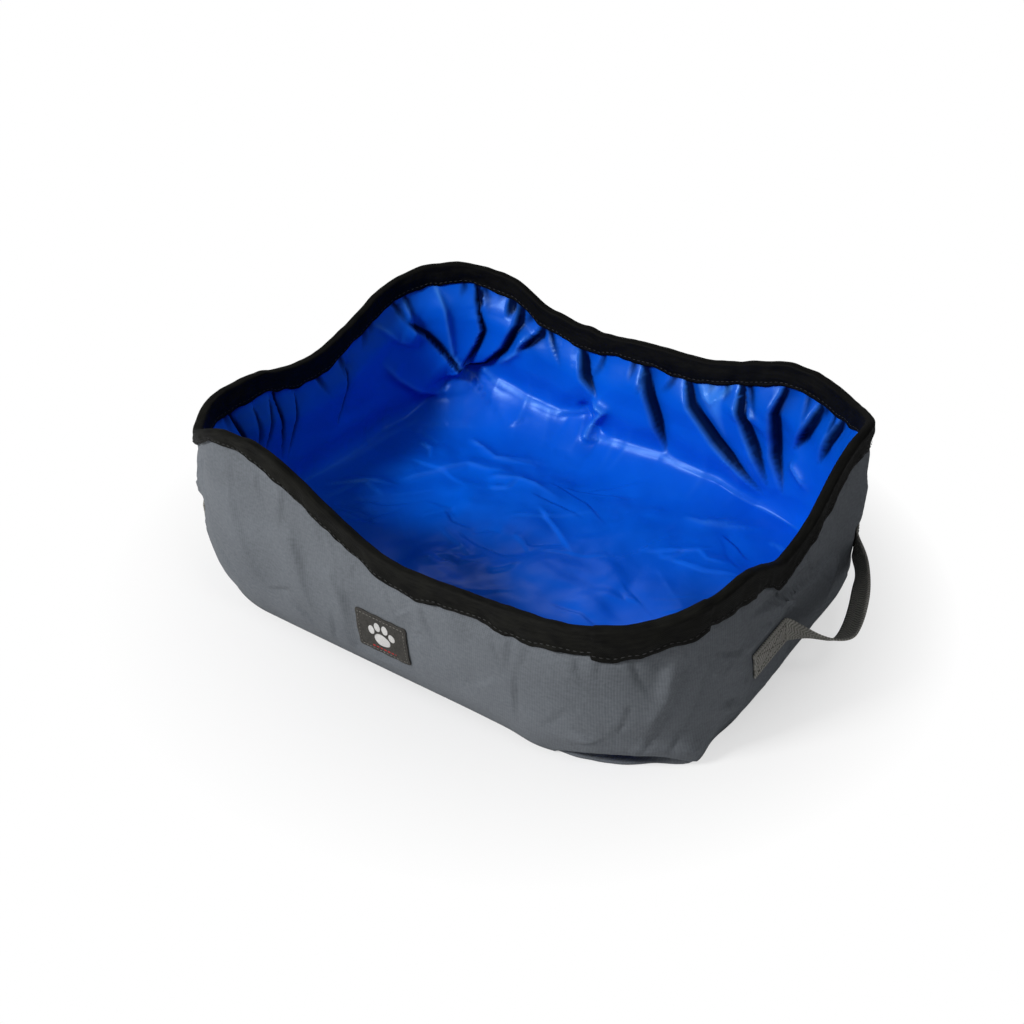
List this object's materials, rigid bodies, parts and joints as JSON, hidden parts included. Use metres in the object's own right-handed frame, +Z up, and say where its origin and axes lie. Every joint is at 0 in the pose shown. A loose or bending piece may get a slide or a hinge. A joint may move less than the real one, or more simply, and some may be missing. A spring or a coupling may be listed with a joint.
{
  "type": "collapsible pet bathtub",
  "caption": "Soft fold-away tub for washing a small pet: grey cloth outside, glossy blue liner, dark bound rim waving over a hidden spring hoop, and a webbing handle on each end.",
  "frame": {"origin": "middle of the whole part's bounding box, on the floor", "axes": "+X along the tub to the right end seen from the front, -Y to the front with the patch, +Z up"},
  "size_m": [0.52, 0.3575, 0.1585],
  "materials": {
    "oxford_cloth": "coated ribbed weave",
    "pvc_liner": "satin gloss sheet",
    "binding_tape": "woven tape",
    "spring_wire": "drawn wire",
    "crimp_sleeve": "plated",
    "patch_cloth": "woven, stitched edge",
    "webbing": "woven webbing"
  },
  "bodies": {
    "tub": {"outer_wall": "oxford_cloth", "outer_base": "oxford_cloth", "liner": "pvc_liner", "rim_binding": "binding_tape", "rim_hoop": "spring_wire", "hoop_sleeve": "crimp_sleeve", "label_patch": "patch_cloth", "right_handle_front_end": "webbing", "right_handle_back_end": "webbing", "left_handle_front_end": "webbing", "left_handle_back_end": "webbing"},
    "right_handle": {"right_handle_loop": "webbing"},
    "left_handle": {"left_handle_loop": "webbing"}
  },
  "joints": [
    {"name": "right_handle_swing", "type": "hinge", "parent": "tub", "child": "right_handle", "pos_m": [0.237, 0, 0.049], "axis": [0, -1, 0], "range_deg": [-62, 98]},
    {"name": "left_handle_swing", "type": "hinge", "parent": "tub", "child": "left_handle", "pos_m": [-0.237, 0, 0.049], "axis": [0, 1, 0], "range_deg": [-62, 98]}
  ]
}
